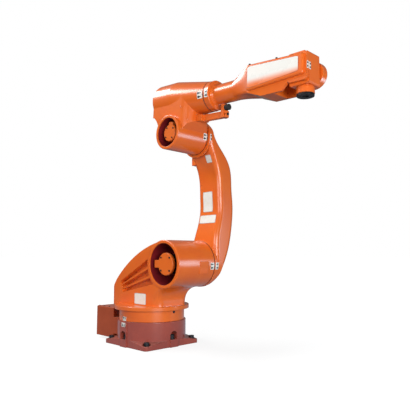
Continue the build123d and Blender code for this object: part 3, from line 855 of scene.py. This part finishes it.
shoulder_seam_y = 0.121
shoulder_seal = Vector((shoulder.x, shoulder_seam_y - seal_setback - seal_length, shoulder.z))
lip_seal("shoulder_seal", shoulder_tube_radius, shoulder_seal, (0, 1, 0), "turret")
pad_size = (0.052, 0.056)
pad_y = 0.052
pad_fall = radians(-9.0)
pad_outward = Vector((cos(pad_fall), 0, sin(pad_fall)))
pad_centre = shoulder + shoulder_tube_radius * pad_outward
pad_centre.y = pad_y
flat_pad("shoulder_pad", "turret_casting", pad_centre, pad_outward, pad_size, "turret")
tube_front = shoulder.x + shoulder_tube_radius
mark_size = (0.022, 0.031)
mark_step = mark_gap + mark_size[0] / 2
shoulder_mark_z = shoulder.z - 0.010
zero_mark(
    "shoulder_mark_tube",
    "turret_casting",
    (tube_front, shoulder_seal.y - mark_step, shoulder_mark_z),
    toward=(0, 1, 0),
    outward=(1, 0, 0),
    size=mark_size,
    body="turret",
)
zero_mark(
    "shoulder_mark_arm",
    "lower_arm_casting",
    (tube_front, shoulder_seam_y + mark_step, shoulder_mark_z),
    toward=(0, -1, 0),
    outward=(1, 0, 0),
    size=mark_size,
    body="lower_arm",
)


# Elbow
# The casting that carries the third axis below and the roll of the forearm above, with a rear
# cover on small screws and a second motor in its open tube. Two screwed plugs close oil holes.

dress("elbow_casting", arm_orange)
dress("elbow_rear_cover", arm_orange)
dress("elbow_motor", motor_black)
dress("elbow_motor_cap", arm_orange)
elbow = Vector(joints["elbow"]["pos_m"])
elbow_tube_radius = 0.077
elbow_wall = 0.012
elbow_bore_depth = 0.1155
elbow_cap_screw = (0.0036, 0.0028)
# Painted shade skin in the elbow motor's bore.
bore_shade_skin(
    "elbow_bore_shade",
    "elbow_motor",
    elbow,
    bore=elbow_tube_radius - elbow_wall,
    mouth_y=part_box("elbow_casting")[0].y + bore_lip,
    depth=elbow_bore_depth,
    body="elbow",
)
screw_ring(
    "elbow_motor_cap_screw",
    Vector((elbow.x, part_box("elbow_motor_cap")[0].y, elbow.z)),
    across=(1, 0, 0),
    up=(0, 0, 1),
    outward=(0, -1, 0),
    circle=0.030,
    count=4,
    turn=35,
    size=elbow_cap_screw,
    body="elbow",
)

elbow_seam_y = 0.086
elbow_seal = Vector((elbow.x, elbow_seam_y - seal_setback - seal_length, elbow.z))
lip_seal("elbow_seal", elbow_tube_radius, elbow_seal, (0, 1, 0), "elbow")
elbow_mark_z = elbow.z - 0.006
boss_radius = 0.090
boss_mark = (0.0115, 0.031)
boss_mark_y = elbow_seam_y + mark_gap + boss_mark[0] / 2
zero_mark(
    "elbow_mark_tube",
    "elbow_casting",
    (elbow.x + elbow_tube_radius, elbow_seal.y - mark_step, elbow_mark_z),
    toward=(0, 1, 0),
    outward=(1, 0, 0),
    size=mark_size,
    body="elbow",
)
zero_mark(
    "elbow_mark_arm",
    "lower_arm_casting",
    (elbow.x + boss_radius, boss_mark_y, elbow_mark_z),
    toward=(0, -1, 0),
    outward=(1, 0, 0),
    size=boss_mark,
    body="lower_arm",
)

housing_pitch = radians(4.0)
housing_forward = Vector((cos(housing_pitch), 0, -sin(housing_pitch)))
housing_up = Vector((sin(housing_pitch), 0, cos(housing_pitch)))
barrel_rise = 0.165
barrel_rear = 0.136
barrel_centre = elbow + barrel_rise * housing_up
rear_cover_screw = (0.0045, 0.003)
screw_ring(
    "rear_cover_screw",
    barrel_centre - barrel_rear * housing_forward,
    across=(0, 1, 0),
    up=housing_up,
    outward=-housing_forward,
    circle=0.062,
    count=6,
    turn=30,
    size=rear_cover_screw,
    body="elbow",
)
oil_holes = (
    ((0.3091, -0.0634, 1.0032), (0.709, -0.703, -0.05)),
    ((0.2851, -0.0773, 1.0580), (0.166, -0.986, -0.012)),
)
oil_plug_mesh = turned_mesh("oil_plug", plug_profile, plug_around)
for index, (spot, outward) in enumerate(oil_holes):
    place = Vector(spot) - head_sink * Vector(outward)
    stand(f"oil_plug_{index + 1}", oil_plug_mesh, place, outward, "elbow", arm_orange)


# Stop bracket and rubber stop
# A cast bar under the forearm with an upright ear. The black rubber puck on it takes the blow
# when the arm folds back to its stop, and a bolt in the bar's end holds the ear.

dress("stop_bracket", arm_orange)
stop_rubber = moulded_plastic("stop_rubber", (0.012, 0.012, 0.012, 1.0), gloss=0.6, grain=900.0)
dress("rubber_stop", stop_rubber)
bar_reach = 0.274
bar_drop = 0.102
bracket_bolt = (0.0055, 0.005)
bracket_bolt_sink = 0.0003
bar_end = barrel_centre + (bar_reach - bracket_bolt_sink) * housing_forward - bar_drop * housing_up
screw("bracket_bolt", bar_end, housing_forward, *bracket_bolt, "elbow")


# Forearm
# A round tube behind a fork, cast in one piece, with a roll flange at the elbow. The drives of
# the wrist lie under a smooth cover on each side, held by small screws along its upper edge. The
# near cover has a panel in pale paint, and its fade into the orange along the lower edge is a
# painted reflection.

dress("forearm_casting", arm_orange)
dress("right_side_cover", arm_orange)
dress("left_side_cover", arm_orange)
dress("wrist_axis_cap", arm_orange)
roll_axis = Vector(joints["forearm_roll"]["axis"]).normalized()
roll_seam = Vector(joints["forearm_roll"]["pos_m"])
roll_up = Vector((0, -1, 0)).cross(roll_axis).normalized()


def on_top(node, x, y):
    """The point of a solid's upper side over a place in plan."""
    above = solids_high.z + 0.1
    return surface_of(node).ray_cast(Vector((x, y, above)), Vector((0, 0, -1)))[0]


cover_screw = (0.0042, 0.0045)
cover_screw_y = 0.0595
cover_screw_places = (0.662, 0.790)
for side, word in sides:
    node = f"{word}_side_cover"
    for index, x in enumerate(cover_screw_places):
        spot = on_top(node, x, side * cover_screw_y) - head_sink * roll_up
        screw(f"{node}_screw_{index + 1}", spot, roll_up, *cover_screw, "forearm")


def fading_panel(name, upper, lower, aged, fade_start, fade_end):
    """Pale painted panel whose fade into the arm's orange along its lower edge is a painted reflection."""
    age_share = 0.12
    material, tree, shader = new_material(name)
    place = add(tree, "ShaderNodeTexCoord").outputs["Object"]
    split = add(tree, "ShaderNodeSeparateXYZ", {0: place})
    share = ramp(tree, split.outputs["Y"], fade_start, fade_end)
    body = colour_mix(tree, share, lower, upper)
    skin = add(tree, "ShaderNodeGroup", node_tree=skin_group)
    age = math_node(tree, "MULTIPLY", skin.outputs["Tone"], age_share)
    body = colour_mix(tree, age, body, aged)
    rough = ramp(tree, skin.outputs["Tone"], 0.0, 1.0, to_low=0.24, to_high=0.32)
    feed(tree, shader, body, rough, skin, depth=0.0003, strength=0.06)
    shader.inputs["Coat Weight"].default_value = 0.5
    shader.inputs["Coat Roughness"].default_value = 0.08
    return material


# The pale field is the panel's paint; its fade into orange along the lower edge is a painted reflection.
panel_paint_and_reflection = fading_panel(
    "panel_paint_and_reflection",
    upper=(0.82, 0.81, 0.77, 1.0),
    lower=(0.83, 0.17, 0.025, 1.0),
    aged=(0.70, 0.55, 0.42, 1.0),
    fade_start=-0.034,
    fade_end=-0.004,
)
border_paint = plate_enamel("border_paint", (0.42, 0.085, 0.020, 1.0))
panel_length = 0.232
panel_height = 0.084
panel_taper = 0.635
panel_corner = 0.009
panel_border = 0.003
panel_start = 0.0105
panel_rise = 0.0102
panel_steps = 20
cover_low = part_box("right_side_cover")[0]
panel_along = (cover_low.x + panel_start + panel_length / 2 - roll_seam.x) / roll_axis.x
panel_centre = roll_seam + panel_along * roll_axis + panel_rise * roll_up
panel_centre.y = cover_low.y
panel_place = seat_matrix(panel_centre, roll_axis, (0, -1, 0))
panel_mesh = bmesh.new()
panel_layers = (
    ((panel_length + panel_border, panel_height + panel_border), plate_sink, plate_thickness, 1),
    ((panel_length, panel_height), 0.0, print_height, 0),
)
for size, low, high, index in panel_layers:
    lay_patch(
        panel_mesh,
        "right_side_cover",
        panel_place,
        size,
        panel_corner,
        low,
        high,
        narrow=panel_taper,
        index=index,
        steps=panel_steps,
    )
laid_piece("right_panel", panel_mesh, panel_place, (panel_paint_and_reflection, border_paint), "forearm")


# Roll seam
# The forearm's flange turns against the elbow's nose, with a lip seal between them and a zero
# mark on the near side.

nose_radius = 0.0645
nose_seal_radius = nose_radius + 0.0003
flange_radius = 0.0635
flange_chamfer = 0.0045
nose_mark = (0.028, 0.032)
flange_mark = (0.018, 0.031)
mark_drop = 0.004
roll_seal = roll_seam - (seal_setback + seal_length) * roll_axis
lip_seal("roll_seal", nose_seal_radius, roll_seal, roll_axis, "elbow")
nose_spot = roll_seal - (mark_gap + nose_mark[0] / 2) * roll_axis - mark_drop * roll_up
nose_spot.y -= nose_radius
flange_spot = roll_seam + (flange_chamfer + flange_mark[0] / 2) * roll_axis - mark_drop * roll_up
flange_spot.y -= flange_radius
zero_mark(
    "roll_mark_elbow",
    "elbow_casting",
    nose_spot,
    toward=roll_axis,
    outward=(0, -1, 0),
    size=nose_mark,
    body="elbow",
)
zero_mark(
    "roll_mark_forearm",
    "forearm_casting",
    flange_spot,
    toward=-roll_axis,
    outward=(0, -1, 0),
    size=flange_mark,
    body="forearm",
)


# Wrist and tool flange
# A short block that turns between the prongs, with the round tool housing below it. The flange
# that takes the tool is a blackened steel disc with a pilot bore and four threaded holes.

dress("wrist_body", arm_orange)
dress("tool_housing", arm_orange)
flange_black = blackened_steel(
    "flange_black",
    colour=(0.010, 0.010, 0.011, 1.0),
    bright=(0.20, 0.20, 0.20, 1.0),
    edge_radius=0.0008,
)
dress("tool_flange", flange_black)
wrist = Vector(joints["wrist_bend"]["pos_m"])
wrist_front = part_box("wrist_body")[1].x
wrist_mark = (0.0105, 0.026)
wrist_mark_z = wrist.z + 0.003
prong_mark_y = -0.0482
block_mark_y = -0.0335
zero_mark(
    "wrist_mark_prong",
    "forearm_casting",
    (wrist_front, prong_mark_y, wrist_mark_z),
    toward=(0, 1, 0),
    outward=(1, 0, 0),
    size=wrist_mark,
    body="forearm",
)
zero_mark(
    "wrist_mark_block",
    "wrist_body",
    (wrist_front, block_mark_y, wrist_mark_z),
    toward=(0, -1, 0),
    outward=(1, 0, 0),
    size=wrist_mark,
    body="wrist",
)
wrist_cap_screw = (0.0042, 0.0028)
screw_ring(
    "wrist_cap_screw",
    Vector((wrist.x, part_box("wrist_axis_cap")[1].y, wrist.z)),
    across=(1, 0, 0),
    up=(0, 0, 1),
    outward=(0, 1, 0),
    circle=0.034,
    count=4,
    turn=45,
    size=wrist_cap_screw,
    body="forearm",
)


# Floor, backdrop and light
# A plain white studio sweep. The floor gives its white to what looks at it, a bluish sheen to
# what mirrors it, and keeps the soft shadow under the foot.

white = (1.0, 1.0, 1.0, 1.0)
sheen_blue = (0.72, 0.80, 1.0, 1.0)
floor_grey = (0.16, 0.16, 0.16, 1.0)
floor_reach = 40.0
floor_gap = 0.0005
floor_mesh = bmesh.new()
bmesh.ops.create_grid(floor_mesh, x_segments=1, y_segments=1, size=floor_reach)
floor_data = bpy.data.meshes.new("floor")
floor_mesh.to_mesh(floor_data)
floor_mesh.free()
floor = new_piece("floor", floor_data)
floor.location = (0, 0, solids_low.z - floor_gap)
floor_white = bpy.data.materials.new("floor_white")
floor_white.use_nodes = True
floor_tree = floor_white.node_tree
floor_tree.nodes.clear()
matt = add(floor_tree, "ShaderNodeBsdfDiffuse", {"Color": floor_grey})
spot = add(floor_tree, "ShaderNodeTexCoord").outputs["Object"]
away = add(floor_tree, "ShaderNodeVectorMath", {0: spot}, operation="LENGTH").outputs["Value"]
rays = add(floor_tree, "ShaderNodeLightPath").outputs
level = ramp(floor_tree, away, low=0.3, high=2.0, to_low=0.87, to_high=1.0)
sheen = ramp(floor_tree, away, low=1.2, high=3.2, to_low=0.34, to_high=0.06)
sheen = math_node(floor_tree, "MULTIPLY", rays["Is Glossy Ray"], sheen)
seen = math_node(floor_tree, "MAXIMUM", rays["Is Camera Ray"], rays["Is Transmission Ray"])
seen = math_node(floor_tree, "MULTIPLY", seen, level)
seen = math_node(floor_tree, "MAXIMUM", seen, sheen)
tint = colour_mix(floor_tree, rays["Is Glossy Ray"], white, sheen_blue)
glow = add(floor_tree, "ShaderNodeEmission", {"Color": tint, "Strength": seen})
both = add(floor_tree, "ShaderNodeAddShader", {0: matt.outputs[0], 1: glow.outputs[0]})
add(floor_tree, "ShaderNodeOutputMaterial", {"Surface": both.outputs[0]})
floor_data.materials.append(floor_white)

scene = bpy.context.scene
mirrored_level = 0.18
fill_level = 0.17
world = bpy.data.worlds.new("studio")
scene.world = world
world.use_nodes = True
sky = world.node_tree
sky.nodes.clear()
rays = add(sky, "ShaderNodeLightPath").outputs
mirrored = math_node(sky, "MULTIPLY", rays["Is Glossy Ray"], mirrored_level)
seen = math_node(sky, "MAXIMUM", rays["Is Camera Ray"], mirrored)
seen = math_node(sky, "MAXIMUM", seen, rays["Is Transmission Ray"])
level = math_node(sky, "MAXIMUM", seen, fill_level)
wall = add(sky, "ShaderNodeBackground", {"Color": white, "Strength": level})
add(sky, "ShaderNodeOutputWorld", {"Surface": wall.outputs[0]})


def softbox(name, place, target, size, power, colour=white):
    """A rectangular studio lamp that looks at a point."""
    lamp = bpy.data.lights.new(name, "AREA")
    lamp.shape = "RECTANGLE"
    lamp.size, lamp.size_y = size
    lamp.energy = power
    lamp.color = colour[:3]
    direction = Vector(target) - Vector(place)
    turn = direction.to_track_quat("-Z", "Y").to_matrix().to_4x4()
    new_piece(name, lamp).matrix_world = Matrix.Translation(place) @ turn


softbox(
    "key_box",
    place=(-1.55, -1.00, 2.66),
    target=(0.25, 0.0, 0.95),
    size=(2.2, 0.7),
    power=80.0,
)
softbox(
    "strip_box",
    place=(1.77, 1.31, 0.46),
    target=(0.25, 0.0, 0.46),
    size=(0.23, 0.64),
    power=7.5,
    colour=(0.60, 0.85, 1.0, 1.0),
)
softbox(
    "front_box",
    place=(1.05, -2.55, 0.95),
    target=(0.1, 0.0, 0.4),
    size=(1.5, 0.8),
    power=26.0,
)
softbox(
    "fill_box",
    place=(2.80, -1.10, 0.58),
    target=(0.15, 0.0, 0.30),
    size=(1.4, 0.9),
    power=52.0,
)


# Camera
# It stands low in front of the arm's right side and looks slightly up, as in the photograph.

photo_width = 410
focal_pixels = 471.4
camera_place = (1.790, -1.429, 0.418)
camera_yaw = 135.08
camera_pitch = 5.83
lens = bpy.data.cameras.new("camera")
lens.sensor_width = 36.0
lens.lens = lens.sensor_width * focal_pixels / photo_width
lens.clip_start = 0.05
lens.clip_end = 200.0
camera = new_piece("camera", lens)
camera.location = camera_place
camera.rotation_euler = (radians(90 + camera_pitch), 0.0, radians(camera_yaw - 90))
scene.camera = camera
scene.view_settings.view_transform = "Standard"
